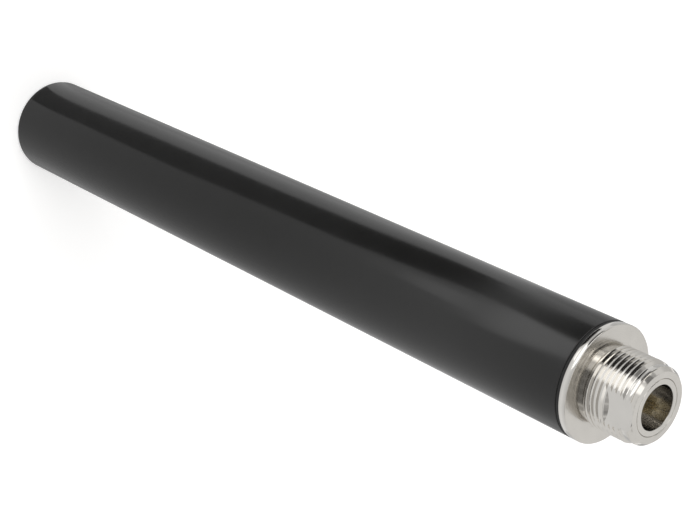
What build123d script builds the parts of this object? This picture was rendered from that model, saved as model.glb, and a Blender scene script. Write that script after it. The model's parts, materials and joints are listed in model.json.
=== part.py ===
from build123d import *
import os

os.makedirs("parts", exist_ok=True)

# A dual-band whip for an access point. It stands on its closed tip, with the connector on top.
# The axis is Z, the origin is at the middle of the tip, and lengths are millimetres.

# Fits
press_gap = 0.02
slip_gap = 0.05
glue_gap = 0.05

# Radome tube and its cap
tube_od = 23.0
tube_wall = 1.5
tube_length = 181.9
tube_edge_radius = 0.8
tube_lead_in = 0.3
tube_mouth_break = 0.15
cap_ledge = 0.5
cap_head_thickness = 2.0
cap_plug_length = 7.0
cap_wall = 1.7
seal_groove_depth = 1.1
seal_groove_width = 2.0
seal_groove_inset = 2.2
seal_corner = 0.4

# Threaded connector body, from the flange's back face to the front of the nose
gasket_thickness = 0.7
gasket_setback = 0.1
flange_thickness = 1.55
flange_edge_break = 0.15
face_relief_gap = 0.25
face_relief_depth = 0.1
undercut_depth = 0.6
undercut_length = 0.8
thread_radius = 7.9
thread_length = 7.55
thread_start_chamfer = 0.3
thread_end_chamfer = 0.6
neck_length = 0.25
collar_step = 0.45
collar_length = 1.3
nose_chamfer_width = 0.64
nose_chamfer_length = 0.75
flats_depth = 0.65
flats_length = 5.3
spigot_length = 11.0
spigot_wall = 2.4
spigot_lead_in = 0.4
oring_groove_depth = 1.3
oring_groove_width = 2.2
oring_groove_inset = 3.2
oring_corner = 0.5
land_length = 7.0

# Inside of the connector
sleeve_seat_radius = 5.5
sleeve_bore_radius = 4.05
sleeve_depth = 9.1
sleeve_grip_length = 3.0
sleeve_taper_length = 0.6
sleeve_mouth_step = 0.3
sleeve_mouth_break = 0.08
sleeve_rim_break = 0.1
line_bore_radius = 3.5
insulator_nose_length = 2.8
insulator_nose_setback = 0.5
insulator_head_radius = 4.55
insulator_head_length = 1.2
rear_insulator_length = 3.2
contact_radius = 1.52
contact_recess = 3.85
contact_collar_radius = 2.0
contact_collar_length = 0.8
contact_tail_radius = 1.0
contact_tail_length = 3.6
socket_radius = 0.83
socket_depth = 5.0
socket_lead_in = 0.2
slot_width = 0.35
slot_length = 4.2
slot_angle = 58
cup_depth = 1.6
stem_radius = 1.12
stem_length = 6.0
stem_cavity_radius = 1.8
stem_cavity_depth = 1.8

# Coaxial feed cable
core_radius = 0.25
dielectric_radius = 0.76
braid_radius = 1.0
jacket_radius = 1.25
cable_gap = 0.02
dielectric_setback = 0.2
braid_thickness = 0.2
ferrule_wall = 0.37
ferrule_length = 7.9
ferrule_crimp_length = 4.6
ferrule_crimp_across = 3.3
jacket_strip = 8.0
braid_strip = 4.2
dielectric_strip = 1.6
core_bend_radius = 0.8
core_stub = 0.35
flare_length = 0.8

# Etched board and what holds it
board_width = 14.0
board_thickness = 1.0
board_corner = 1.0
board_end_gap = 0.5
copper_thickness = 0.1
board_hole_radius = 0.4
cushion_floor = 3.0
cushion_slot_depth = 4.0
holder_slot_depth = 4.5
holder_boss_length = 3.0
spacer_thickness = 6.0
spacer_rim = 0.95
spacer_web = 1.25
spacer_rise = 0.925

# Dipole pattern, the same on both faces, turned end for end
dipole_count = 3
pattern_margin = 8.075
low_band_arm = 23.0
low_band_width = 1.6
high_band_arm = 10.5
high_band_width = 1.0
arm_margin = 0.8
arm_space = 0.9
crossbar_width = 1.8
strip_width = 1.2
feed_pad_width = 4.6
feed_pad_length = 11.0
feed_pad_lead = 2.2
antipad_radius = 0.9
core_joint_radius = 1.0
core_joint_height = 0.6
core_joint_slope = 0.48
braid_joint_width = 3.0
braid_joint_length = 2.2

# Heights along the axis
tube_radius = tube_od / 2
bore_radius = tube_radius - tube_wall
flange_back = tube_length + gasket_thickness
flange_front = flange_back + flange_thickness
thread_start = flange_front + undercut_length
thread_end = thread_start + thread_length
neck_end = thread_end + thread_end_chamfer + neck_length
collar_end = neck_end + collar_length
nose_face = collar_end + nose_chamfer_length
flats_start = nose_face - flats_length
spigot_end = flange_back - spigot_length
land_end = flange_back - land_length
reference_plane = nose_face - sleeve_depth
sleeve_grip_end = reference_plane + sleeve_grip_length
insulator_nose = reference_plane - insulator_nose_setback
insulator_seat = insulator_nose - insulator_nose_length
insulator_split = insulator_seat - insulator_head_length
rear_insulator_back = insulator_split - rear_insulator_length
contact_tip = nose_face - contact_recess
contact_collar_back = insulator_split - contact_collar_length
contact_tail_end = contact_collar_back - contact_tail_length
stem_cavity_end = rear_insulator_back - stem_cavity_depth
stem_end = land_end - stem_length
dielectric_start = contact_tail_end - dielectric_setback
ferrule_start = land_end - slip_gap
ferrule_end = ferrule_start - ferrule_length

# Radii that follow from the fits
spigot_radius = bore_radius - glue_gap
spigot_inner_radius = spigot_radius - spigot_wall
oring_groove_radius = spigot_radius - oring_groove_depth
undercut_radius = thread_radius - undercut_depth
collar_radius = thread_radius - collar_step
sleeve_mouth_radius = sleeve_bore_radius + sleeve_mouth_step
nose_wall = collar_radius - sleeve_seat_radius
nose_radius = collar_radius - min(nose_chamfer_width, nose_wall / 3)
flat = thread_radius - flats_depth
rear_bore_radius = insulator_head_radius + press_gap
cap_head_radius = bore_radius + cap_ledge
cap_plug_radius = bore_radius - press_gap
cap_cup_radius = cap_plug_radius - cap_wall
seal_groove_radius = cap_plug_radius - seal_groove_depth
cup_radius = core_radius + cable_gap
stem_bore_radius = dielectric_radius + cable_gap
braid_flare_inner = stem_radius + cable_gap
braid_flare_outer = braid_flare_inner + braid_thickness
ferrule_inner = braid_flare_outer + cable_gap
ferrule_outer = ferrule_inner + ferrule_wall
ferrule_passage = ferrule_outer + slip_gap

# The board lies beside the cable, so that the jacket rests on its rear copper
rear_copper_face = -(jacket_radius + slip_gap)
board_rear = rear_copper_face - copper_thickness
board_front = board_rear - board_thickness
front_copper_face = board_front - copper_thickness
board_middle = (board_front + board_rear) / 2
board_slot_thickness = board_thickness + 2 * (copper_thickness + slip_gap)
board_slot_width = board_width + 2 * slip_gap
cap_floor = cap_head_thickness
cushion_top = cap_floor + cushion_floor + cushion_slot_depth
board_bottom = cap_floor + cushion_floor
board_top = ferrule_end - board_end_gap
board_length = board_top - board_bottom
holder_bottom = board_top - holder_slot_depth
feed_height = (board_bottom + board_top) / 2
jacket_end = feed_height + jacket_strip
braid_end = feed_height + braid_strip
dielectric_end = feed_height + dielectric_strip

# The dipoles are spread along the board, between the margins at its two ends
dipole_pitch = (board_length - 2 * (low_band_arm + pattern_margin)) / (dipole_count - 1)
stations = [feed_height + (i - (dipole_count - 1) / 2) * dipole_pitch for i in range(dipole_count)]

# Each spacer starts just above a crossbar, or above the middle of the first two
lower_spacer_height = stations[0] + spacer_rise
middle_spacer_height = (stations[0] + stations[1]) / 2 + spacer_rise
upper_spacer_height = stations[-1] + spacer_rise

# The spacers' round reliefs leave a rim at the bore and a web beside the board's slot
relief_outer = bore_radius - slip_gap - spacer_rim
relief_inner = board_slot_thickness / 2 - board_middle + spacer_web
spacer_relief_radius = (relief_outer - relief_inner) / 2
spacer_relief_circle = (relief_outer + relief_inner) / 2


def turn(outline, mode=Mode.ADD):
    """Revolve a closed half section, given as (radius, height) pairs, round the axis."""
    with BuildSketch(Plane.XZ) as section:
        with BuildLine():
            Polyline(*outline, close=True)
        make_face()
    revolve(section.sketch, axis=Axis.Z, mode=mode)


def ring(inner, outer, low, high, corner):
    """Turn a squeezed rubber ring: its section is a rectangle with the corners taken off."""
    turn([
        (inner, low + corner),
        (inner + corner, low),
        (outer - corner, low),
        (outer, low + corner),
        (outer, high - corner),
        (outer - corner, high),
        (inner + corner, high),
        (inner, high - corner),
    ])


def cut_round(radius, low, high):
    """Cut a round passage along the axis."""
    with BuildSketch(Plane.XY.offset(low)) as section:
        Circle(radius)
    extrude(section.sketch, amount=high - low, mode=Mode.SUBTRACT)


def cut_board_slot(low, high):
    """Cut the slot that the board, with the copper on its faces, slides into."""
    with BuildSketch(Plane.XY.offset(low)) as section:
        with Locations((0, board_middle)):
            Rectangle(board_slot_width, board_slot_thickness)
    extrude(section.sketch, amount=high - low, mode=Mode.SUBTRACT)


# Radome: a plain extruded tube, counterbored at the tip for the cap
with BuildPart() as radome_tube:
    with BuildSketch():
        Circle(tube_radius)
        Circle(bore_radius, mode=Mode.SUBTRACT)
    extrude(amount=tube_length)
    with BuildSketch():
        Circle(cap_head_radius)
    extrude(amount=cap_head_thickness, mode=Mode.SUBTRACT)
    tip_rim = radome_tube.edges().filter_by(GeomType.CIRCLE).group_by(Axis.Z)[0]
    fillet(tip_rim.sort_by(SortBy.RADIUS)[-1], tube_edge_radius)
    mouth_rim = radome_tube.edges().filter_by(GeomType.CIRCLE).group_by(Axis.Z)[-1]
    chamfer(mouth_rim.sort_by(SortBy.RADIUS)[0], tube_lead_in)
    mouth_rim = radome_tube.edges().filter_by(GeomType.CIRCLE).group_by(Axis.Z)[-1]
    chamfer(mouth_rim.sort_by(SortBy.RADIUS)[-1], tube_mouth_break)

radome_tube.part.label = "radome_tube"
export_step(radome_tube.part, "parts/radome_tube.step")

# Cap: its head fills the counterbore flush with the tip, its plug is hollow
cap_top = cap_head_thickness + cap_plug_length
seal_groove_low = cap_head_thickness + seal_groove_inset
seal_groove_high = seal_groove_low + seal_groove_width
with BuildPart() as end_cap:
    turn([
        (0, 0),
        (cap_head_radius - press_gap, 0),
        (cap_head_radius - press_gap, cap_head_thickness),
        (cap_plug_radius, cap_head_thickness),
        (cap_plug_radius, seal_groove_low),
        (seal_groove_radius, seal_groove_low),
        (seal_groove_radius, seal_groove_high),
        (cap_plug_radius, seal_groove_high),
        (cap_plug_radius, cap_top),
        (cap_cup_radius, cap_top),
        (cap_cup_radius, cap_floor),
        (0, cap_floor),
    ])

end_cap.part.label = "end_cap"
export_step(end_cap.part, "parts/end_cap.step")

# Seal ring round the cap's plug
with BuildPart() as cap_seal_ring:
    ring(
        seal_groove_radius + press_gap,
        bore_radius - press_gap,
        seal_groove_low + press_gap,
        seal_groove_high - press_gap,
        seal_corner,
    )

cap_seal_ring.part.label = "cap_seal_ring"
export_step(cap_seal_ring.part, "parts/cap_seal_ring.step")

# Foam cushion in the cap, slotted for the lower end of the board
with BuildPart() as tip_cushion:
    with BuildSketch(Plane.XY.offset(cap_floor)):
        Circle(cap_cup_radius - slip_gap)
    extrude(amount=cushion_top - cap_floor)
    cut_board_slot(board_bottom, cushion_top)

tip_cushion.part.label = "tip_cushion"
export_step(tip_cushion.part, "parts/tip_cushion.step")

# Board: a strip of laminate with a hole for the feed wire
with BuildPart() as antenna_board:
    with BuildSketch(Plane.XZ.offset(-board_rear)):
        with Locations((0, feed_height)):
            RectangleRounded(board_width, board_length, board_corner)
            Circle(board_hole_radius, mode=Mode.SUBTRACT)
    extrude(amount=board_thickness)

antenna_board.part.label = "antenna_board"
export_step(antenna_board.part, "parts/antenna_board.step")


def dipole_pattern(direction):
    """Sketch the feed strip and, at each station, a crossbar with two long and two short arms.

    The arms run up the board where direction is 1 and down where it is -1.
    """
    outer_leg = board_width / 2 - arm_margin - low_band_width / 2
    inner_leg = outer_leg - low_band_width / 2 - arm_space - high_band_width / 2
    with Locations((0, feed_height)):
        Rectangle(strip_width, stations[-1] - stations[0] + crossbar_width)
    for height in stations:
        with Locations((0, height)):
            Rectangle(board_width - 2 * arm_margin, crossbar_width)
        for side in (-1, 1):
            with Locations((side * outer_leg, height + direction * low_band_arm / 2)):
                Rectangle(low_band_width, low_band_arm)
            with Locations((side * inner_leg, height + direction * high_band_arm / 2)):
                Rectangle(high_band_width, high_band_arm)


# Front copper: live arms, joined to the feed wire
with BuildPart() as front_copper:
    with BuildSketch(Plane.XZ.offset(-board_front)):
        dipole_pattern(1)
        with Locations((0, feed_height)):
            Circle(board_hole_radius, mode=Mode.SUBTRACT)
    extrude(amount=copper_thickness)

front_copper.part.label = "front_copper"
export_step(front_copper.part, "parts/front_copper.step")

# Rear copper: earthed arms, with a pad for the braid that stays clear of the feed wire
with BuildPart() as rear_copper:
    with BuildSketch(Plane.XZ.offset(-rear_copper_face)):
        dipole_pattern(-1)
        with Locations((0, feed_height - feed_pad_lead + feed_pad_length / 2)):
            Rectangle(feed_pad_width, feed_pad_length)
        with Locations((0, feed_height)):
            Circle(antipad_radius, mode=Mode.SUBTRACT)
    extrude(amount=copper_thickness)

rear_copper.part.label = "rear_copper"
export_step(rear_copper.part, "parts/rear_copper.step")

# Holder: plugs into the spigot, takes the upper end of the board and lets the cable through
with BuildPart() as board_holder:
    turn([
        (0, holder_bottom),
        (bore_radius - slip_gap, holder_bottom),
        (bore_radius - slip_gap, spigot_end),
        (spigot_inner_radius - slip_gap, spigot_end),
        (spigot_inner_radius - slip_gap, spigot_end + holder_boss_length),
        (0, spigot_end + holder_boss_length),
    ])
    cut_board_slot(holder_bottom, board_top)
    cut_round(ferrule_passage, holder_bottom, spigot_end + holder_boss_length)

board_holder.part.label = "board_holder"
export_step(board_holder.part, "parts/board_holder.step")

# Spacers: three like moulded discs that centre the board in the tube
spacer_heights = {
    "lower_spacer": lower_spacer_height,
    "middle_spacer": middle_spacer_height,
    "upper_spacer": upper_spacer_height,
}
for spacer_name, spacer_height in spacer_heights.items():
    with BuildPart() as spacer:
        with BuildSketch(Plane.XY.offset(spacer_height)):
            Circle(bore_radius - slip_gap)
            with Locations((0, spacer_relief_circle)):
                Circle(spacer_relief_radius, mode=Mode.SUBTRACT)
            with Locations((0, -spacer_relief_circle)):
                Circle(spacer_relief_radius, mode=Mode.SUBTRACT)
        extrude(amount=spacer_thickness)
        cut_board_slot(spacer_height, spacer_height + spacer_thickness)
        cut_round(jacket_radius + slip_gap, spacer_height, spacer_height + spacer_thickness)
    spacer.part.label = spacer_name
    export_step(spacer.part, f"parts/{spacer_name}.step")

# Cable core: from the contact's cup down the axis, then through the board
core_start = contact_tail_end + cup_depth - slip_gap
with BuildPart() as cable_core:
    with BuildLine() as core_route:
        FilletPolyline(
            (0, 0, core_start),
            (0, 0, feed_height),
            (0, front_copper_face - core_stub, feed_height),
            radius=core_bend_radius,
        )
    with BuildSketch(Plane.XY.offset(core_start)):
        Circle(core_radius)
    sweep(path=core_route.line)

cable_core.part.label = "cable_core"
export_step(cable_core.part, "parts/cable_core.step")

# Cable dielectric
with BuildPart() as cable_dielectric:
    turn([
        (core_radius + cable_gap, dielectric_end),
        (dielectric_radius, dielectric_end),
        (dielectric_radius, dielectric_start),
        (core_radius + cable_gap, dielectric_start),
    ])

cable_dielectric.part.label = "cable_dielectric"
export_step(cable_dielectric.part, "parts/cable_dielectric.step")

# Cable braid: flared over the stem, then close round the dielectric
with BuildPart() as cable_braid:
    turn([
        (stem_bore_radius, braid_end),
        (braid_radius, braid_end),
        (braid_radius, stem_end - flare_length),
        (braid_flare_outer, stem_end),
        (braid_flare_outer, ferrule_start),
        (braid_flare_inner, ferrule_start),
        (braid_flare_inner, stem_end - press_gap),
        (stem_bore_radius, stem_end - flare_length),
    ])

cable_braid.part.label = "cable_braid"
export_step(cable_braid.part, "parts/cable_braid.step")

# Cable jacket
with BuildPart() as cable_jacket:
    turn([
        (braid_radius + cable_gap, jacket_end),
        (jacket_radius, jacket_end),
        (jacket_radius, stem_end - flare_length),
        (braid_radius + cable_gap, stem_end - flare_length),
    ])

cable_jacket.part.label = "cable_jacket"
export_step(cable_jacket.part, "parts/cable_jacket.step")

# Solder joint of the core on the front copper: a low cone round the stub of wire
with BuildPart() as core_solder_joint:
    with BuildSketch(Plane.XZ.offset(-front_copper_face)):
        with Locations((0, feed_height)):
            Circle(core_joint_radius)
            Circle(core_radius + cable_gap, mode=Mode.SUBTRACT)
    extrude(amount=core_joint_height)
    joint_rim = core_solder_joint.edges().filter_by(GeomType.CIRCLE).group_by(Axis.Y)[0]
    chamfer(joint_rim.sort_by(SortBy.RADIUS)[-1], core_joint_slope)

core_solder_joint.part.label = "core_solder_joint"
export_step(core_solder_joint.part, "parts/core_solder_joint.step")

# Solder joint of the braid on the rear copper
braid_joint_low = braid_end + slip_gap
with BuildPart() as braid_solder_joint:
    with BuildSketch(Plane.XY.offset(braid_joint_low)):
        with BuildLine():
            Polyline(
                (-braid_joint_width / 2, rear_copper_face),
                (braid_joint_width / 2, rear_copper_face),
                (braid_radius + press_gap, -press_gap),
                (-braid_radius - press_gap, -press_gap),
                close=True,
            )
        make_face()
        Circle(braid_radius + press_gap, mode=Mode.SUBTRACT)
    extrude(amount=braid_joint_length)

braid_solder_joint.part.label = "braid_solder_joint"
export_step(braid_solder_joint.part, "parts/braid_solder_joint.step")

# Crimp ferrule: a thin tube, pressed to a hexagon over the stem
with BuildPart() as crimp_ferrule:
    turn([
        (ferrule_inner, ferrule_end),
        (ferrule_outer, ferrule_end),
        (ferrule_outer, ferrule_start),
        (ferrule_inner, ferrule_start),
    ])
    with BuildSketch(Plane.XY.offset(stem_end)):
        Circle(tube_radius)
        RegularPolygon(ferrule_crimp_across / 2, 6, major_radius=False, mode=Mode.SUBTRACT)
    extrude(amount=ferrule_crimp_length, mode=Mode.SUBTRACT)

crimp_ferrule.part.label = "crimp_ferrule"
export_step(crimp_ferrule.part, "parts/crimp_ferrule.step")

# Cable stem: closes the rear of the connector and carries the crimp
with BuildPart() as cable_stem:
    turn([
        (stem_bore_radius, stem_end),
        (stem_radius, stem_end),
        (stem_radius, land_end),
        (rear_bore_radius - press_gap, land_end),
        (rear_bore_radius - press_gap, rear_insulator_back),
        (stem_cavity_radius, rear_insulator_back),
        (stem_cavity_radius, stem_cavity_end),
        (stem_bore_radius, stem_cavity_end),
    ])

cable_stem.part.label = "cable_stem"
export_step(cable_stem.part, "parts/cable_stem.step")

# Connector body: spigot, flange, threaded barrel and nose, turned from one bar, then milled.
# The flange's face is relieved round the undercut, so that what goes over the thread seats flat.
face_relief_radius = thread_radius + face_relief_gap
face_relief_floor = flange_front - face_relief_depth
oring_groove_high = flange_back - oring_groove_inset
oring_groove_low = oring_groove_high - oring_groove_width
with BuildPart() as connector_body:
    turn([
        (spigot_inner_radius, spigot_end),
        (spigot_radius - spigot_lead_in, spigot_end),
        (spigot_radius, spigot_end + spigot_lead_in),
        (spigot_radius, oring_groove_low),
        (oring_groove_radius, oring_groove_low),
        (oring_groove_radius, oring_groove_high),
        (spigot_radius, oring_groove_high),
        (spigot_radius, flange_back),
        (tube_radius, flange_back),
        (tube_radius, flange_front),
        (face_relief_radius, flange_front),
        (face_relief_radius, face_relief_floor),
        (undercut_radius, face_relief_floor),
        (undercut_radius, thread_start),
        (thread_radius - thread_start_chamfer, thread_start),
        (thread_radius, thread_start + thread_start_chamfer),
        (thread_radius, thread_end),
        (thread_radius - thread_end_chamfer, thread_end + thread_end_chamfer),
        (thread_radius - thread_end_chamfer, neck_end),
        (collar_radius, neck_end),
        (collar_radius, collar_end),
        (nose_radius, nose_face),
        (sleeve_seat_radius, nose_face),
        (sleeve_seat_radius, reference_plane),
        (line_bore_radius, reference_plane),
        (line_bore_radius, insulator_seat),
        (rear_bore_radius, insulator_seat),
        (rear_bore_radius, land_end),
        (spigot_inner_radius, land_end),
    ])
    flange_rims = connector_body.edges().filter_by(GeomType.CIRCLE)
    chamfer(flange_rims.filter_by(lambda rim: rim.radius == tube_radius), flange_edge_break)
    with BuildSketch(Plane.YZ):
        with BuildLine():
            Polyline(
                (flat, flats_start),
                (thread_radius, flats_start - flats_depth),
                (tube_radius, flats_start - flats_depth),
                (tube_radius, nose_face),
                (flat, nose_face),
                close=True,
            )
        make_face()
        mirror(about=Plane.XZ)
    extrude(amount=thread_radius, both=True, mode=Mode.SUBTRACT)

connector_body.part.label = "connector_body"
export_step(connector_body.part, "parts/connector_body.step")

# Gasket between the tube's end and the flange
with BuildPart() as flange_gasket:
    with BuildSketch(Plane.XY.offset(tube_length)):
        Circle(tube_radius - gasket_setback)
        Circle(bore_radius + glue_gap, mode=Mode.SUBTRACT)
    extrude(amount=gasket_thickness)

flange_gasket.part.label = "flange_gasket"
export_step(flange_gasket.part, "parts/flange_gasket.step")

# Sealing ring round the spigot
with BuildPart() as spigot_oring:
    ring(
        oring_groove_radius + press_gap,
        bore_radius - press_gap,
        oring_groove_low + press_gap,
        oring_groove_high - press_gap,
        oring_corner,
    )

spigot_oring.part.label = "spigot_oring"
export_step(spigot_oring.part, "parts/spigot_oring.step")

# Outer contact: a sleeve pressed into the nose, down to the reference plane.
# Its mouth is wide and guides the plug, and tapers to the bore that grips it.
with BuildPart() as outer_contact:
    turn([
        (sleeve_bore_radius, reference_plane),
        (sleeve_seat_radius - press_gap, reference_plane),
        (sleeve_seat_radius - press_gap, nose_face - sleeve_rim_break),
        (sleeve_seat_radius - press_gap - sleeve_rim_break, nose_face),
        (sleeve_mouth_radius + sleeve_mouth_break, nose_face),
        (sleeve_mouth_radius, nose_face - sleeve_mouth_break),
        (sleeve_mouth_radius, sleeve_grip_end + sleeve_taper_length),
        (sleeve_bore_radius, sleeve_grip_end),
    ])

outer_contact.part.label = "outer_contact"
export_step(outer_contact.part, "parts/outer_contact.step")

# Front insulator: its head seats in the body, its nose fills the bore behind the sleeve
with BuildPart() as front_insulator:
    turn([
        (contact_radius + press_gap, insulator_split),
        (insulator_head_radius, insulator_split),
        (insulator_head_radius, insulator_seat),
        (line_bore_radius - press_gap, insulator_seat),
        (line_bore_radius - press_gap, insulator_nose),
        (contact_radius + press_gap, insulator_nose),
    ])

front_insulator.part.label = "front_insulator"
export_step(front_insulator.part, "parts/front_insulator.step")

# Rear insulator: holds the contact's collar against the front one
with BuildPart() as rear_insulator:
    turn([
        (contact_tail_radius + press_gap, rear_insulator_back),
        (insulator_head_radius, rear_insulator_back),
        (insulator_head_radius, insulator_split),
        (contact_collar_radius + press_gap, insulator_split),
        (contact_collar_radius + press_gap, contact_collar_back),
        (contact_tail_radius + press_gap, contact_collar_back),
    ])

rear_insulator.part.label = "rear_insulator"
export_step(rear_insulator.part, "parts/rear_insulator.step")

# Centre contact: a slotted socket in front, a collar, and a solder cup behind
with BuildPart() as centre_contact:
    turn([
        (0, contact_tail_end + cup_depth),
        (cup_radius, contact_tail_end + cup_depth),
        (cup_radius, contact_tail_end),
        (contact_tail_radius, contact_tail_end),
        (contact_tail_radius, contact_collar_back),
        (contact_collar_radius, contact_collar_back),
        (contact_collar_radius, insulator_split),
        (contact_radius, insulator_split),
        (contact_radius, contact_tip - socket_lead_in),
        (contact_radius - socket_lead_in, contact_tip),
        (socket_radius + socket_lead_in, contact_tip),
        (socket_radius, contact_tip - socket_lead_in),
        (socket_radius, contact_tip - socket_depth),
        (0, contact_tip - socket_depth),
    ])
    with BuildSketch(Plane.XY.offset(contact_tip - slot_length)):
        with PolarLocations(0, 2, start_angle=slot_angle, angular_range=180):
            Rectangle(2 * contact_collar_radius, slot_width)
    extrude(amount=slot_length, mode=Mode.SUBTRACT)

centre_contact.part.label = "centre_contact"
export_step(centre_contact.part, "parts/centre_contact.step")
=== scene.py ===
import json
import math

import bmesh
import bpy
from mathutils import Matrix, Vector


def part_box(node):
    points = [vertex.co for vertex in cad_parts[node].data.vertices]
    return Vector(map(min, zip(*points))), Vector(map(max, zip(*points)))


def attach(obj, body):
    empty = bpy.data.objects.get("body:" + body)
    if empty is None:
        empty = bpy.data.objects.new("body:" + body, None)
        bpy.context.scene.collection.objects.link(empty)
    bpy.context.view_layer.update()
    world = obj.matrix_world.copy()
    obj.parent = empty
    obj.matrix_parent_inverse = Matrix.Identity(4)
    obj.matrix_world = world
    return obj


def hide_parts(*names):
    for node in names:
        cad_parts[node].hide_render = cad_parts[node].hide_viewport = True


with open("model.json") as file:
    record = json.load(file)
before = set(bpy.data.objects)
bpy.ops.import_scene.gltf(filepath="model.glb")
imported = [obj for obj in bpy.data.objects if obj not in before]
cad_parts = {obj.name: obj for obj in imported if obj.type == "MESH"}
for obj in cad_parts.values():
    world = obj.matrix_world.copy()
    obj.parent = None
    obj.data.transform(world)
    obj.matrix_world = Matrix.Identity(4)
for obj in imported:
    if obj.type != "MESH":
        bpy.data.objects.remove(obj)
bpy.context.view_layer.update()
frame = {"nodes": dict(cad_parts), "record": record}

MM = 0.001

# Clearances and the cap's ledge, as the CAD pieces have them, in millimetres
press_gap = 0.02
slip_gap = 0.05
cap_ledge = 0.5

# Sizes taken from the frame, in millimetres
_, tube_high = (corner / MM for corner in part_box("radome_tube"))
body_low, body_high = (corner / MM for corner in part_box("connector_body"))
gasket_low, gasket_high = (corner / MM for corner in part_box("flange_gasket"))
sleeve_low, sleeve_high = (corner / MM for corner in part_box("outer_contact"))
contact_low, contact_high = (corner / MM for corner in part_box("centre_contact"))
_, cap_high = (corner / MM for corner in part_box("end_cap"))
insulator_low, insulator_high = (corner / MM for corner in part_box("front_insulator"))
tube_radius = tube_high.x
counterbore_radius = cap_high.x + press_gap
bore_radius = counterbore_radius - cap_ledge
spigot_end = body_low.z
flange_back = gasket_high.z
nose_face = body_high.z
reference_plane = sleeve_low.z

# Tube and end cap, in millimetres
tube_end_break = 0.15
tip_radius = 0.8
tip_inner_break = 0.05
tube_lead_in = 0.3
cap_head_thickness = 2.0
cap_edge_break = 0.08
cap_wall = 1.7
cap_rim_break = 0.15
seal_groove_depth = 1.1
seal_groove_width = 2.0
seal_groove_inset = 2.2

# Connector body, in millimetres
flange_thickness = 1.55
flange_break = 0.15
relief_radius = 8.15
relief_depth = 0.1
undercut_radius = 7.3
undercut_length = 0.8
crest_radius = 7.9
thread_length = 7.55
start_chamfer = 0.3
end_chamfer = 0.6
neck_length = 0.25
collar_radius = 7.45
collar_length = 1.3
collar_break = 0.05
line_width = 0.14
line_depth = 0.12
nose_radius = 6.81
nose_break = 0.08
seat_break = 0.16
flat_distance = 6.8
flats_length = 5.3
cone_length = 2.0
cone_overlap = 0.4
spigot_radius = 9.95
spigot_inner_radius = 7.55
spigot_lead_in = 0.4
oring_groove_radius = 8.65
oring_groove_inset = 3.2
oring_groove_width = 2.2
land_length = 7.0
sleeve_seat_radius = 5.5
line_bore_radius = 3.5
rear_bore_radius = 4.57
insulator_nose_length = 2.8

# Right-hand 5/8-24 thread: 60 degree flanks, with flat crests and roots. Heights are above the
# flange's back, and at the phase's station the groove's centre is at the phase's angle.
thread_pitch = 25.4 / 24
thread_root_radius = 7.42
thread_flank_angle = math.radians(30)
thread_root_flat = 0.28
groove_outer_radius = 8.0
groove_first_centre = 2.12
groove_last_centre = 10.48
groove_phase = math.radians(-148.8)
groove_phase_station = 3.42

# Sleeve, in millimetres
sleeve_bore_radius = 4.05
sleeve_grip_length = 3.0
sleeve_taper_length = 0.6
sleeve_rim_break = 0.2
mouth_radius = 4.35
mouth_break = 0.08
mouth_rounding = 0.02

# Centre contact, in millimetres
contact_radius = 1.52
contact_rounding = 0.2
contact_collar_length = 0.8
contact_tail_radius = 1.0
socket_radius = 0.83
socket_depth = 5.0
cup_radius = 0.27
cup_depth = 1.6
slot_length = 4.2
slot_width = 0.35
slot_reach = 2.5
slot_angle = math.radians(58)

# Fineness of the turned surfaces
body_segments = 288
ring_segments = 192
small_segments = 96
fillet_steps = 4
sharp_angle = math.radians(28)

# How far a cutter stands past the face that it cuts, in millimetres
cut_overshoot = 1.0

flange_front = flange_back + flange_thickness
thread_start = flange_front + undercut_length
thread_end = thread_start + thread_length
neck_end = thread_end + end_chamfer + neck_length
collar_end = neck_end + collar_length
flats_start = nose_face - flats_length
land_end = flange_back - land_length
insulator_seat = insulator_high.z - insulator_nose_length


def softened(outline):
    """Replace each corner of an outline of (radius, height, fillet) by an arc of that fillet."""
    points = []
    count = len(outline)
    for i, (radius, height, fillet) in enumerate(outline):
        corner = Vector((radius, height))
        if fillet == 0:
            points.append(corner)
            continue
        to_last = (Vector(outline[i - 1][:2]) - corner).normalized()
        to_next = (Vector(outline[(i + 1) % count][:2]) - corner).normalized()
        half_angle = to_last.angle(to_next) / 2
        reach = fillet / math.tan(half_angle)
        centre = corner + (to_last + to_next).normalized() * fillet / math.sin(half_angle)
        first = corner + to_last * reach - centre
        last = corner + to_next * reach - centre
        sweep = first.angle_signed(last)
        for step in range(fillet_steps + 1):
            turn = Matrix.Rotation(-sweep * step / fillet_steps, 2)
            points.append(centre + turn @ first)
    return points


def make_object(name, shape):
    """Link a new object that holds the shape, and free the shape."""
    mesh_data = bpy.data.meshes.new(name)
    shape.to_mesh(mesh_data)
    shape.free()
    made = bpy.data.objects.new(name, mesh_data)
    bpy.context.scene.collection.objects.link(made)
    return made


def make_solid(name, shape):
    """Turn every face of a closed shape outwards, and link it as an object."""
    bmesh.ops.recalc_face_normals(shape, faces=shape.faces)
    return make_object(name, shape)


def turned(name, outline, segments):
    """Revolve a closed outline of (radius, height, fillet) round the axis, in millimetres."""
    shape = bmesh.new()
    rings = []
    angles = [2 * math.pi * i / segments for i in range(segments)]
    for radius, height in softened(outline):
        if radius == 0:
            rings.append([shape.verts.new((0, 0, height))] * segments)
            continue
        rings.append([shape.verts.new((radius * math.cos(a), radius * math.sin(a), height)) for a in angles])
    for i, ring in enumerate(rings):
        following = rings[(i + 1) % len(rings)]
        for k in range(segments):
            corners = [ring[k], ring[(k + 1) % segments], following[(k + 1) % segments], following[k]]
            unique = list(dict.fromkeys(corners))
            if len(unique) > 2:
                shape.faces.new(unique)
    return make_solid(name, shape)


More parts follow.
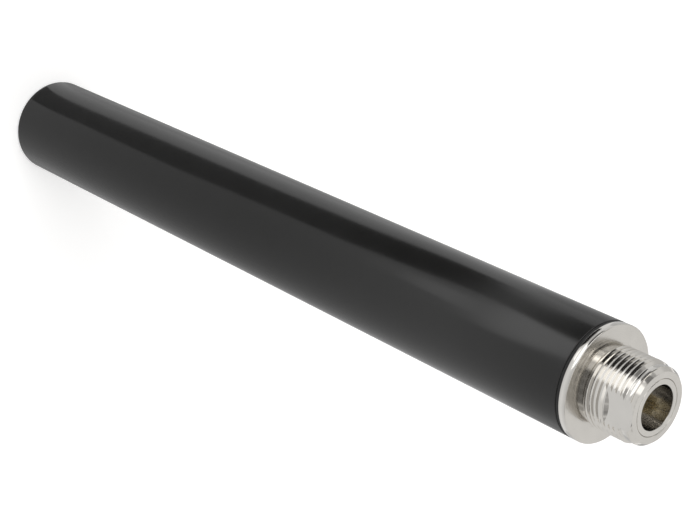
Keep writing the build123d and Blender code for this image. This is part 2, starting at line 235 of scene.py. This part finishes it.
def prism(name, outline, plane, low, high):
    """Extrude an outline in the YZ or XY plane from low to high, in millimetres."""
    shape = bmesh.new()
    ends = []
    for level in (low, high):
        if plane == "YZ":
            ends.append([shape.verts.new((level, a, b)) for a, b in outline])
        else:
            ends.append([shape.verts.new((a, b, level)) for a, b in outline])
    count = len(outline)
    shape.faces.new(ends[0])
    shape.faces.new(reversed(ends[1]))
    for i in range(count):
        k = (i + 1) % count
        shape.faces.new([ends[0][i], ends[1][i], ends[1][k], ends[0][k]])
    return make_solid(name, shape)


def thread_groove():
    """Sweep the thread's groove along its helix, as a closed solid that is cut from the barrel."""
    steps_per_turn = body_segments // 2
    groove_depth = groove_outer_radius - thread_root_radius
    opening = thread_root_flat / 2 + groove_depth * math.tan(thread_flank_angle)
    section = [
        (thread_root_radius, -thread_root_flat / 2),
        (groove_outer_radius, -opening),
        (groove_outer_radius, opening),
        (thread_root_radius, thread_root_flat / 2),
    ]
    first_turn = (groove_first_centre - groove_phase_station) / thread_pitch
    last_turn = (groove_last_centre - groove_phase_station) / thread_pitch
    count = math.ceil((last_turn - first_turn) * steps_per_turn)
    shape = bmesh.new()
    rows = []
    for i in range(count + 1):
        turns = first_turn + (last_turn - first_turn) * i / count
        angle = groove_phase + 2 * math.pi * turns
        height = flange_back + groove_phase_station + thread_pitch * turns
        rows.append([
            shape.verts.new((radius * math.cos(angle), radius * math.sin(angle), height + rise))
            for radius, rise in section
        ])
    for lower, upper in zip(rows, rows[1:]):
        for k in range(len(section)):
            m = (k + 1) % len(section)
            shape.faces.new([lower[k], lower[m], upper[m], upper[k]])
    shape.faces.new(rows[0])
    shape.faces.new(reversed(rows[-1]))
    return make_solid("thread_groove", shape)


def cut(piece, cutters):
    """Subtract the cutters from the piece and delete them."""
    for cutter in cutters:
        step = piece.modifiers.new(cutter.name, "BOOLEAN")
        step.operation = "DIFFERENCE"
        step.solver = "EXACT"
        step.object = cutter
    evaluated = piece.evaluated_get(bpy.context.evaluated_depsgraph_get())
    result = bpy.data.meshes.new_from_object(evaluated)
    piece.modifiers.clear()
    piece.data = result
    for cutter in cutters:
        bpy.data.objects.remove(cutter)


def place(piece, node, finish):
    """Scale a finished piece to metres, shade it, and let it stand for its CAD node."""
    piece.data.transform(Matrix.Scale(MM, 4))
    piece.data.shade_smooth()
    piece.data.set_sharp_from_angle(angle=sharp_angle)
    piece.data.materials.clear()
    piece.data.materials.append(finish)
    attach(piece, "root")
    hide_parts(node)


class Finish:
    """A node material around one Principled shader."""

    def __init__(self, name, colour, roughness, metallic=0.0, ior=1.5):
        self.material = bpy.data.materials.new(name)
        self.material.use_nodes = True
        self.nodes = self.material.node_tree.nodes
        self.links = self.material.node_tree.links
        self.shader = self.nodes["Principled BSDF"]
        self.shader.inputs["Base Color"].default_value = (*colour, 1)
        self.shader.inputs["Roughness"].default_value = roughness
        self.shader.inputs["Metallic"].default_value = metallic
        self.shader.inputs["IOR"].default_value = ior
        self.colour = colour
        self.place = self.nodes.new("ShaderNodeTexCoord").outputs["Object"]

    def noise(self, feature_mm, detail=3.0):
        """Noise whose features are about that many millimetres across."""
        texture = self.nodes.new("ShaderNodeTexNoise")
        texture.inputs["Scale"].default_value = 1 / (feature_mm * MM)
        texture.inputs["Detail"].default_value = detail
        self.links.new(self.place, texture.inputs["Vector"])
        return texture.outputs["Fac"]

    def axis_distance(self):
        """Distance from the axis, in metres."""
        across = self.nodes.new("ShaderNodeVectorMath")
        across.operation = "MULTIPLY"
        across.inputs[1].default_value = (1, 1, 0)
        self.links.new(self.place, across.inputs[0])
        length = self.nodes.new("ShaderNodeVectorMath")
        length.operation = "LENGTH"
        self.links.new(across.outputs["Vector"], length.inputs[0])
        return length.outputs["Value"]

    def remapped(self, source, from_low, from_high, to_low, to_high):
        """The source moved from one range into another, and held at its ends."""
        moved = self.nodes.new("ShaderNodeMapRange")
        moved.inputs["From Min"].default_value = from_low
        moved.inputs["From Max"].default_value = from_high
        moved.inputs["To Min"].default_value = to_low
        moved.inputs["To Max"].default_value = to_high
        self.links.new(source, moved.inputs["Value"])
        return moved.outputs["Result"]

    def bore_step(self, inside, outside):
        """One value for the surfaces inside the bore's mouth, and another for those outside it."""
        edge = mouth_radius * MM
        return self.remapped(self.axis_distance(), edge, edge + mouth_break * MM, inside, outside)

    def turning_marks(self, spacing_mm):
        """Fine rings round the axis and along it, as a lathe tool leaves them."""
        fine_detail = 4
        split = self.nodes.new("ShaderNodeSeparateXYZ")
        self.links.new(self.place, split.inputs["Vector"])
        along = self.nodes.new("ShaderNodeMath")
        along.operation = "ADD"
        self.links.new(self.axis_distance(), along.inputs[0])
        self.links.new(split.outputs["Z"], along.inputs[1])
        spread = self.nodes.new("ShaderNodeCombineXYZ")
        self.links.new(along.outputs["Value"], spread.inputs["X"])
        texture = self.nodes.new("ShaderNodeTexNoise")
        texture.inputs["Scale"].default_value = 1 / (spacing_mm * MM)
        texture.inputs["Detail"].default_value = fine_detail
        self.links.new(spread.outputs["Vector"], texture.inputs["Vector"])
        return texture.outputs["Fac"]

    def vary_roughness(self, source, low, high):
        """Let the source move the roughness between low and high."""
        self.links.new(self.remapped(source, 0, 1, low, high), self.shader.inputs["Roughness"])

    def add_roughness(self, amount):
        """Add a varying amount to the roughness that is there."""
        total = self.nodes.new("ShaderNodeMath")
        self.links.new(self.shader.inputs["Roughness"].links[0].from_socket, total.inputs[0])
        self.links.new(amount, total.inputs[1])
        self.links.new(total.outputs["Value"], self.shader.inputs["Roughness"])

    def roughen_faces(self, extra):
        """Add that roughness where the surface lies across the axis, as a facing cut leaves it."""
        none_below, full_above = 0.95, 0.99
        split = self.nodes.new("ShaderNodeSeparateXYZ")
        self.links.new(self.nodes.new("ShaderNodeTexCoord").outputs["Normal"], split.inputs["Vector"])
        across = self.nodes.new("ShaderNodeMath")
        across.operation = "ABSOLUTE"
        self.links.new(split.outputs["Z"], across.inputs[0])
        self.add_roughness(self.remapped(across.outputs["Value"], none_below, full_above, 0, extra))

    def shade_and_roughen_bore(self, share, extra):
        """Make the bore's plating that share as bright, which is painted shade in the recess, and rougher by
        that extra.
        """
        shaded_colour = self.nodes.new("ShaderNodeVectorMath")
        shaded_colour.operation = "SCALE"
        self.links.new(self.shader.inputs["Base Color"].links[0].from_socket, shaded_colour.inputs[0])
        self.links.new(self.bore_step(share, 1), shaded_colour.inputs["Scale"])
        self.links.new(shaded_colour.outputs["Vector"], self.shader.inputs["Base Color"])
        self.add_roughness(self.bore_step(extra, 0))

    def vary_colour(self, source, darker, lighter):
        """Let the source move the colour between two shares of itself."""
        ramp = self.nodes.new("ShaderNodeValToRGB")
        dark, light = ramp.color_ramp.elements
        dark.position = 0.3
        light.position = 0.7
        dark.color = (*[c * darker for c in self.colour], 1)
        light.color = (*[min(1, c * lighter) for c in self.colour], 1)
        self.links.new(source, ramp.inputs["Fac"])
        self.links.new(ramp.outputs["Color"], self.shader.inputs["Base Color"])

    def bump(self, source, height_mm):
        """Raise the surface by the source, up to that height."""
        raised = self.nodes.new("ShaderNodeBump")
        raised.inputs["Distance"].default_value = height_mm * MM
        self.links.new(source, raised.inputs["Height"])
        self.links.new(raised.outputs["Normal"], self.shader.inputs["Normal"])
        return raised


# How far the roughness wanders to either side of its value
roughness_wander = 0.03


def plastic(name, colour, roughness, grain_mm, grain_height_mm):
    """Moulded or extruded plastic with a fine grain."""
    sheen_mm = 6
    tint_mm = 12
    grain_detail = 2
    finish = Finish(name, colour, roughness)
    finish.vary_roughness(finish.noise(sheen_mm), roughness - roughness_wander, roughness + roughness_wander)
    finish.vary_colour(finish.noise(tint_mm), 0.92, 1.08)
    finish.bump(finish.noise(grain_mm, grain_detail), grain_height_mm)
    return finish.material


def plated(name, colour, roughness, marks_mm, marks_height_mm, faces_extra=0, bore_painted_shade=1, bore_extra=0):
    """Plated metal over turning marks. The extras are added to the roughness of faces and bore, and the
    bore's share of brightness is painted shade in the recess.
    """
    sheen_mm = 1.6
    tint_mm = 4
    finish = Finish(name, colour, roughness, metallic=1.0)
    finish.vary_roughness(finish.noise(sheen_mm), roughness - roughness_wander, roughness + roughness_wander)
    finish.roughen_faces(faces_extra)
    finish.vary_colour(finish.noise(tint_mm), 0.96, 1.02)
    # Painted shade: the plating inside the bore's mouth is made darker, as shade in the recess.
    finish.shade_and_roughen_bore(bore_painted_shade, bore_extra)
    marks = finish.bump(finish.turning_marks(marks_mm), marks_height_mm)
    if bore_extra:
        finish.links.new(finish.bore_step(0, 1), marks.inputs["Strength"])
    return finish.material


def braided(name, colour):
    """Fine wires laid over and under each other."""
    wire_mm = 0.6
    wire_height_mm = 0.05
    finish = Finish(name, colour, 0.3, metallic=1.0)
    wave = finish.nodes.new("ShaderNodeTexWave")
    wave.bands_direction = "DIAGONAL"
    wave.inputs["Scale"].default_value = 1 / (wire_mm * MM)
    finish.links.new(finish.place, wave.inputs["Vector"])
    finish.vary_colour(wave.outputs["Fac"], 0.55, 1.05)
    finish.bump(wave.outputs["Fac"], wire_height_mm)
    return finish.material


def woven_laminate(name, colour):
    """Laminate whose glass weave shows faintly under the mask."""
    weave_mm = 0.5
    weave_height_mm = 0.01
    finish = Finish(name, colour, 0.35)
    weave = finish.nodes.new("ShaderNodeTexChecker")
    weave.inputs["Scale"].default_value = 1 / (weave_mm * MM)
    finish.links.new(finish.place, weave.inputs["Vector"])
    finish.vary_colour(weave.outputs["Fac"], 0.88, 1.1)
    finish.bump(weave.outputs["Fac"], weave_height_mm)
    return finish.material


# Plastics: colour, roughness, width and height of the grain in millimetres.
# Plated metals: colour, roughness, spacing and height of the turning marks in millimetres.
finishes = {
    "radome_plastic": plastic("radome_plastic", (0.0125, 0.0125, 0.0122), 0.17, 0.12, 0.001),
    "nickel_plate": plated(
        "nickel_plate", (0.71, 0.69, 0.655), 0.1, 0.12, 0.0002,
        # The nickel inside the bore is painted at 0.8 of its brightness, as shade in the recess.
        faces_extra=0.1, bore_painted_shade=0.8, bore_extra=0.05,
    ),
    "gold_plate": plated("gold_plate", (0.86, 0.76, 0.52), 0.13, 0.1, 0.0003),
    "black_rubber": plastic("black_rubber", (0.012, 0.012, 0.012), 0.6, 0.1, 0.004),
    "foam": plastic("foam", (0.12, 0.12, 0.13), 0.9, 0.35, 0.08),
    "laminate": woven_laminate("laminate", (0.03, 0.13, 0.05)),
    "tinned_copper": plated("tinned_copper", (0.8, 0.46, 0.29), 0.3, 0.4, 0.001),
    "white_nylon": plastic("white_nylon", (0.72, 0.7, 0.64), 0.45, 0.2, 0.004),
    "ptfe": plastic("ptfe", (0.8, 0.8, 0.78), 0.4, 0.15, 0.002),
    "cable_sheath": plastic("cable_sheath", (0.16, 0.07, 0.03), 0.3, 0.3, 0.002),
    "silvered_wire": braided("silvered_wire", (0.74, 0.73, 0.7)),
    "solder": plated("solder", (0.58, 0.58, 0.59), 0.25, 0.5, 0.002),
}
slots = {row["node"]: row["material_slot"] for row in frame["record"]["subparts"]}
for node_name, node in frame["nodes"].items():
    node.data.materials.clear()
    node.data.materials.append(finishes[slots[node_name]])


def build_radome():
    """The straight tube, with its rounded edge at the tip and its counterbore for the cap."""
    piece = turned("radome", [
        (counterbore_radius, 0, tip_inner_break),
        (tube_radius, 0, tip_radius),
        (tube_radius, tube_high.z, tube_end_break),
        (bore_radius + tube_lead_in, tube_high.z, 0),
        (bore_radius, tube_high.z - tube_lead_in, 0),
        (bore_radius, cap_head_thickness, 0),
        (counterbore_radius, cap_head_thickness, 0),
    ], body_segments)
    place(piece, "radome_tube", finishes["radome_plastic"])


def build_end_cap():
    """The cap, flush with the tube's end, with the seal's groove round its plug."""
    plug_radius = bore_radius - press_gap
    cup_wall_radius = plug_radius - cap_wall
    groove_radius = plug_radius - seal_groove_depth
    groove_low = cap_head_thickness + seal_groove_inset
    groove_high = groove_low + seal_groove_width
    piece = turned("tip_cap", [
        (0, 0, 0),
        (cap_high.x, 0, cap_edge_break),
        (cap_high.x, cap_head_thickness, 0),
        (plug_radius, cap_head_thickness, 0),
        (plug_radius, groove_low, 0),
        (groove_radius, groove_low, 0),
        (groove_radius, groove_high, 0),
        (plug_radius, groove_high, 0),
        (plug_radius, cap_high.z, cap_rim_break),
        (cup_wall_radius, cap_high.z, cap_rim_break),
        (cup_wall_radius, cap_head_thickness, 0),
        (0, cap_head_thickness, 0),
    ], ring_segments)
    place(piece, "end_cap", finishes["radome_plastic"])


def build_gasket():
    """The rubber gasket, its outer edge a little bulged by the clamping."""
    bulge_radius = 0.16
    piece = turned("gasket", [
        (bore_radius + slip_gap, gasket_low.z, 0),
        (gasket_high.x, gasket_low.z, bulge_radius),
        (gasket_high.x, gasket_high.z, bulge_radius),
        (bore_radius + slip_gap, gasket_high.z, 0),
    ], ring_segments)
    place(piece, "flange_gasket", finishes["black_rubber"])


def flat_cutter(side):
    """What is cut away to leave one flat, on the +Y or -Y side, with a 45 degree cone at its rear end."""
    cone_start = flats_start - cone_length
    flat = prism(f"flat_{side}", [
        (side * flat_distance, cone_start + cone_overlap),
        (side * tube_radius, cone_start + cone_overlap),
        (side * tube_radius, nose_face + cut_overshoot),
        (side * flat_distance, nose_face + cut_overshoot),
    ], "YZ", -tube_radius, tube_radius)
    cone = turned(f"cone_{side}", [
        (0, cone_start, 0),
        (flat_distance + cone_length, cone_start, 0),
        (flat_distance, flats_start, 0),
        (0, flats_start, 0),
    ], body_segments)
    cut(flat, [cone])
    return flat


def build_connector():
    """Flange, threaded barrel and nose, with the thread's groove and the two flats cut."""
    groove_high = flange_back - oring_groove_inset
    groove_low = groove_high - oring_groove_width
    body = turned("coaxial_body", [
        (spigot_inner_radius, spigot_end, 0),
        (spigot_radius - spigot_lead_in, spigot_end, 0),
        (spigot_radius, spigot_end + spigot_lead_in, 0),
        (spigot_radius, groove_low, 0),
        (oring_groove_radius, groove_low, 0),
        (oring_groove_radius, groove_high, 0),
        (spigot_radius, groove_high, 0),
        (spigot_radius, flange_back, 0),
        (tube_radius, flange_back, flange_break),
        (tube_radius, flange_front, flange_break),
        (relief_radius, flange_front, 0),
        (relief_radius, flange_front - relief_depth, 0),
        (undercut_radius, flange_front - relief_depth, 0),
        (undercut_radius, thread_start, 0),
        (crest_radius - start_chamfer, thread_start, 0),
        (crest_radius, thread_start + start_chamfer, 0),
        (crest_radius, thread_end, 0),
        (crest_radius - end_chamfer, thread_end + end_chamfer, 0),
        (crest_radius - end_chamfer, neck_end, 0),
        (collar_radius, neck_end, collar_break),
        (collar_radius, collar_end - line_width, collar_break),
        (collar_radius - line_depth, collar_end - line_width / 2, 0),
        (collar_radius - line_depth / 2, collar_end + line_width / 2, 0),
        (nose_radius, nose_face, nose_break),
        (sleeve_seat_radius, nose_face, seat_break),
        (sleeve_seat_radius, reference_plane, 0),
        (line_bore_radius, reference_plane, 0),
        (line_bore_radius, insulator_seat, 0),
        (rear_bore_radius, insulator_seat, 0),
        (rear_bore_radius, land_end, 0),
        (spigot_inner_radius, land_end, 0),
    ], body_segments)
    cut(body, [thread_groove(), flat_cutter(-1), flat_cutter(1)])
    place(body, "connector_body", finishes["nickel_plate"])


def build_sleeve():
    """The outer contact, with its joint to the nose as a fine ring line."""
    grip_end = reference_plane + sleeve_grip_length
    piece = turned("contact_sleeve", [
        (sleeve_bore_radius, reference_plane, 0),
        (sleeve_high.x, reference_plane, 0),
        (sleeve_high.x, nose_face, sleeve_rim_break),
        (mouth_radius + mouth_break, nose_face, mouth_rounding),
        (mouth_radius, nose_face - mouth_break, mouth_rounding),
        (mouth_radius, grip_end + sleeve_taper_length, 0),
        (sleeve_bore_radius, grip_end, 0),
    ], ring_segments)
    place(piece, "outer_contact", finishes["nickel_plate"])


def build_insulator():
    """The front insulator at the bottom of the bore."""
    inner_radius = contact_radius + press_gap
    nose_outer_radius = line_bore_radius - press_gap
    outer_break = 0.15
    inner_break = 0.05
    piece = turned("bore_insulator", [
        (inner_radius, insulator_low.z, 0),
        (insulator_high.x, insulator_low.z, 0),
        (insulator_high.x, insulator_seat, 0),
        (nose_outer_radius, insulator_seat, 0),
        (nose_outer_radius, insulator_high.z, outer_break),
        (inner_radius, insulator_high.z, inner_break),
    ], ring_segments)
    place(piece, "front_insulator", finishes["ptfe"])


def slot_cutter(name, half_x, half_y):
    """A bar through the contact's tip, turned to the angle of its slots."""
    outline = [(-half_x, -half_y), (half_x, -half_y), (half_x, half_y), (-half_x, half_y)]
    slot = prism(name, outline, "XY", contact_high.z - slot_length, contact_high.z + cut_overshoot)
    slot.data.transform(Matrix.Rotation(slot_angle, 4, "Z"))
    return slot


def build_contact():
    """The slotted socket, with its collar and solder cup."""
    collar_back = insulator_low.z - contact_collar_length
    piece = turned("socket_contact", [
        (0, contact_low.z + cup_depth, 0),
        (cup_radius, contact_low.z + cup_depth, 0),
        (cup_radius, contact_low.z, 0),
        (contact_tail_radius, contact_low.z, 0),
        (contact_tail_radius, collar_back, 0),
        (contact_high.x, collar_back, 0),
        (contact_high.x, insulator_low.z, 0),
        (contact_radius, insulator_low.z, 0),
        (contact_radius, contact_high.z, contact_rounding),
        (socket_radius, contact_high.z, contact_rounding),
        (socket_radius, contact_high.z - socket_depth, 0),
        (0, contact_high.z - socket_depth, 0),
    ], small_segments)
    cut(piece, [
        slot_cutter("slot_x", slot_reach, slot_width / 2),
        slot_cutter("slot_y", slot_width / 2, slot_reach),
    ])
    place(piece, "centre_contact", finishes["gold_plate"])


build_radome()
build_end_cap()
build_gasket()
build_connector()
build_sleeve()
build_insulator()
build_contact()

# Studio. Azimuth runs round the tube's axis from +X, in degrees; radii on the floor are metres.
world_level = 0.78
world_colour = (1.0, 0.99, 0.975, 1)
floor_half_width = 12.0
floor_albedo = 0.8
floor_fill = 0.45
card_height = 0.0004
pool_radius = 2.0
pool_step = 15

# The level that a card shows at each radius. The lower levels near the foot are partly painted shade, the
# tube's shadow round its foot as the floor would show it in reflections, and partly the room's uneven light.
grey_pool_tones = [
    (0.0, 0.38), (0.1, 0.5), (0.16, 0.64), (0.26, 0.86), (0.33, 0.74), (0.5, 0.62), (2.0, 0.56),
]
pale_side_tones = [(0.0, 0.46), (0.02, 0.52), (0.06, 0.65), (0.1, 0.71), (0.15, 0.77), (0.2, 0.75)]
dim_side_tones = [
    (0.0, 0.3), (0.1, 0.39), (0.16, 0.48), (0.26, 0.6), (0.33, 0.55), (0.5, 0.5), (2.0, 0.45),
]
near_flag_tones = [(0.0, 0.13), (0.12, 0.1), (0.19, 0.01), (0.258, 0.01), (0.274, 0.6), (0.3, 0.65)]
far_flag_tones = [(0.34, 0.3), (0.38, 0.02), (0.7, 0.02), (0.9, 0.3)]
bright_strip_tones = [
    (0.2, 0.8), (0.24, 1.6), (0.262, 1.5), (0.275, 0.75), (0.29, 0.75), (0.312, 1.9), (0.5, 1.7),
]

# Each card's outline on the floor, as points of azimuth and radius
grey_pool_outline = [(azimuth, pool_radius) for azimuth in range(0, 360, pool_step)]
dim_side_outline = [
    (88, 0.04), (80, 0.08), (80, 0.26), (126, 0.285), (126, 0.5), (112, 2.0),
    (80, 2.0), (45, 2.0), (10, 2.0), (10, 0.28), (50, 0.26), (50, 0.08), (60, 0.04),
]
pale_side_outline = [
    (171, 0.011), (152, 0.015), (138, 0.022), (125, 0.037), (119, 0.056), (110, 0.103),
    (106, 0.151), (104, 0.2), (165, 0.2), (180, 0.05), (190, 0.014), (200, 0.011),
]
near_flag_outline = [
    (197, 0.011), (189, 0.014), (182, 0.018), (175, 0.024), (162, 0.059), (158, 0.106),
    (152, 0.153), (141, 0.215), (141, 0.262), (158, 0.272), (160, 0.335), (184, 0.335),
    (184, 0.285), (188, 0.25), (194, 0.214), (203, 0.153), (205, 0.107), (212, 0.061),
    (213, 0.026), (219, 0.015), (222, 0.011),
]
far_flag_outline = [(150, 0.345), (150, 0.9), (189, 0.9), (191, 0.345)]
bright_strip_outline = [
    (211, 0.2), (199, 0.26), (200, 0.287), (186, 0.315), (193, 0.36), (200, 0.5),
    (222, 0.5), (236, 0.36), (243, 0.315), (228, 0.287), (226, 0.26), (221, 0.2),
]

# Each patch of the room: azimuth, elevation, full within and gone beyond (degrees), and its level
room_patches = [
    (95, 2, 18, 38, 0.6),
    (-122, 82, 12, 24, 1.15),
    (-128, 63, 6, 9, 0.42),
    (-108, 62, 6, 9, 0.42),
    (-88, 60, 6, 9, 0.42),
    (-68, 56, 6, 9, 0.42),
    (-48, 50, 6, 9, 0.42),
    (-31, 43, 6, 9, 0.42),
    (-15, 35, 6, 9, 0.42),
    (236, 30, 10, 15, 0.15),
    (262, 30, 10, 15, 0.15),
    (288, 30, 10, 15, 0.15),
    (314, 30, 10, 15, 0.2),
    (172, 27, 15, 20, 2.5),
    (149, 36, 5, 8, 0.45),
    (121, 57, 15, 19, 0.03),
    (166, 42, 8, 13, 0.22),
    (208, 48, 7, 13, 1.5),
]


def empty_material(piece, name):
    """Give the piece a new material without nodes, and return its nodes and links."""
    paint = bpy.data.materials.new(name)
    paint.use_nodes = True
    paint.node_tree.nodes.clear()
    piece.data.materials.append(paint)
    return paint.node_tree.nodes, paint.node_tree.links


def seen_share(nodes, links):
    """1 for camera, glossy and transmission rays, 0 for the rest."""
    path = nodes.new("ShaderNodeLightPath")
    total = path.outputs["Is Camera Ray"]
    for name in ("Is Glossy Ray", "Is Transmission Ray"):
        larger = nodes.new("ShaderNodeMath")
        larger.operation = "MAXIMUM"
        links.new(total, larger.inputs[0])
        links.new(path.outputs[name], larger.inputs[1])
        total = larger.outputs["Value"]
    return total


def build_floor():
    """A pale floor that shows white where it is lit, and keeps the object's shadow."""
    half = floor_half_width
    shape = bmesh.new()
    corners = [(-half, -half, 0), (half, -half, 0), (half, half, 0), (-half, half, 0)]
    shape.faces.new([shape.verts.new(c) for c in corners])
    floor = make_object("floor", shape)
    nodes, links = empty_material(floor, "floor")
    diffuse = nodes.new("ShaderNodeBsdfDiffuse")
    diffuse.inputs["Color"].default_value = (floor_albedo, floor_albedo, floor_albedo, 1)
    glow = nodes.new("ShaderNodeEmission")
    fill = nodes.new("ShaderNodeMath")
    fill.operation = "MULTIPLY"
    fill.inputs[1].default_value = floor_fill
    links.new(seen_share(nodes, links), fill.inputs[0])
    links.new(fill.outputs["Value"], glow.inputs["Strength"])
    both = nodes.new("ShaderNodeAddShader")
    links.new(diffuse.outputs["BSDF"], both.inputs[0])
    links.new(glow.outputs["Emission"], both.inputs[1])
    output = nodes.new("ShaderNodeOutputMaterial")
    links.new(both.outputs["Shader"], output.inputs["Surface"])


def level_at_radius(nodes, links, tones):
    """The tones' level at the surface's distance from the foot, straight between two tones."""
    place_on_floor = nodes.new("ShaderNodeTexCoord").outputs["Object"]
    radius = nodes.new("ShaderNodeVectorMath")
    radius.operation = "LENGTH"
    links.new(place_on_floor, radius.inputs[0])
    level = None
    for (near, near_tone), (far, far_tone) in zip(tones, tones[1:]):
        step = nodes.new("ShaderNodeMapRange")
        step.inputs["From Min"].default_value = near
        step.inputs["From Max"].default_value = far
        step.inputs["To Min"].default_value = near_tone if level is None else 0
        step.inputs["To Max"].default_value = far_tone if level is None else far_tone - near_tone
        links.new(radius.outputs["Value"], step.inputs["Value"])
        if level is None:
            level = step.outputs["Result"]
            continue
        total = nodes.new("ShaderNodeMath")
        links.new(level, total.inputs[0])
        links.new(step.outputs["Result"], total.inputs[1])
        level = total.outputs["Value"]
    return level


def build_card(name, outline, tones, layer):
    """A card just above the floor that only reflections show."""
    shape = bmesh.new()
    corners = []
    for azimuth, radius in outline:
        a = math.radians(azimuth)
        corners.append(shape.verts.new((radius * math.cos(a), radius * math.sin(a), card_height * layer)))
    shape.faces.new(corners)
    card = make_object(name, shape)
    nodes, links = empty_material(card, name)
    glow = nodes.new("ShaderNodeEmission")
    links.new(level_at_radius(nodes, links, tones), glow.inputs["Strength"])
    output = nodes.new("ShaderNodeOutputMaterial")
    links.new(glow.outputs["Emission"], output.inputs["Surface"])
    card.visible_camera = False
    card.visible_diffuse = False
    card.visible_transmission = False
    card.visible_shadow = False


def build_cards():
    """The grey pool round the foot, darker towards the foot as partly painted shade, and the pale, dark and
    bright shapes that lie on it.
    """
    build_card("grey_pool", grey_pool_outline, grey_pool_tones, 1)
    build_card("dim_side", dim_side_outline, dim_side_tones, 2)
    build_card("pale_side", pale_side_outline, pale_side_tones, 2)
    build_card("near_flag", near_flag_outline, near_flag_tones, 3)
    build_card("far_flag", far_flag_outline, far_flag_tones, 3)
    build_card("bright_strip", bright_strip_outline, bright_strip_tones, 4)


def patch_share(nodes, links, direction, azimuth, elevation, inner, outer):
    """1 in the middle of a round patch of the sky, and 0 outside it."""
    a, e = math.radians(azimuth), math.radians(elevation)
    dot = nodes.new("ShaderNodeVectorMath")
    dot.operation = "DOT_PRODUCT"
    dot.inputs[1].default_value = (math.cos(a) * math.cos(e), math.sin(a) * math.cos(e), math.sin(e))
    links.new(direction, dot.inputs[0])
    share = nodes.new("ShaderNodeMapRange")
    share.interpolation_type = "SMOOTHSTEP"
    share.inputs["From Min"].default_value = math.cos(math.radians(outer))
    share.inputs["From Max"].default_value = math.cos(math.radians(inner))
    links.new(dot.outputs["Value"], share.inputs["Value"])
    return share.outputs["Result"]


def build_world():
    """An even studio sky, with the darker and brighter parts of the room that the nickel mirrors."""
    world = bpy.data.worlds.new("studio")
    bpy.context.scene.world = world
    world.use_nodes = True
    nodes, links = world.node_tree.nodes, world.node_tree.links
    nodes.clear()
    direction = nodes.new("ShaderNodeTexCoord").outputs["Generated"]
    level = None
    for azimuth, elevation, inner, outer, value in room_patches:
        share = patch_share(nodes, links, direction, azimuth, elevation, inner, outer)
        mix = nodes.new("ShaderNodeMix")
        links.new(share, mix.inputs["Factor"])
        mix.inputs["A"].default_value = world_level
        mix.inputs["B"].default_value = value
        if level is not None:
            links.new(level, mix.inputs["A"])
        level = mix.outputs["Result"]
    background = nodes.new("ShaderNodeBackground")
    background.inputs["Color"].default_value = world_colour
    links.new(level, background.inputs["Strength"])
    output = nodes.new("ShaderNodeOutputWorld")
    links.new(background.outputs["Background"], output.inputs["Surface"])


def build_lamps():
    """One large soft lamp over the camera's left, aimed at the middle of the tube."""
    target = Vector((0, 0, 0.1))
    lamp = bpy.data.lights.new("softbox", "AREA")
    lamp.shape = "RECTANGLE"
    lamp.size = 0.9
    lamp.size_y = 0.6
    lamp.energy = 4.0
    holder = bpy.data.objects.new("softbox", lamp)
    bpy.context.scene.collection.objects.link(holder)
    holder.location = (-0.7, -0.35, 1.1)
    holder.rotation_mode = "QUATERNION"
    holder.rotation_quaternion = (target - holder.location).to_track_quat("-Z", "Y")
    holder.visible_camera = False
    holder.visible_glossy = False


def build_camera():
    """The photograph's view: from the connector's side, rolled so that the tube lies across."""
    right = Vector((-0.03863, 0.74916, 0.66126))
    up = Vector((-0.92304, 0.22672, -0.31079))
    back = Vector((-0.38275, -0.62238, 0.68275))
    position = Vector((-0.12842, -0.208491, 0.34308))
    data = bpy.data.cameras.new("camera")
    data.sensor_width = 36.0
    data.lens = 82.546
    data.clip_start = 0.01
    camera = bpy.data.objects.new("camera", data)
    bpy.context.scene.collection.objects.link(camera)
    turn = Matrix((right, up, back)).transposed()
    camera.matrix_world = Matrix.Translation(position) @ turn.to_4x4()
    bpy.context.scene.camera = camera


build_floor()
build_cards()
build_world()
build_lamps()
build_camera()
bpy.context.scene.view_settings.view_transform = "Standard"

bpy.context.view_layer.update()
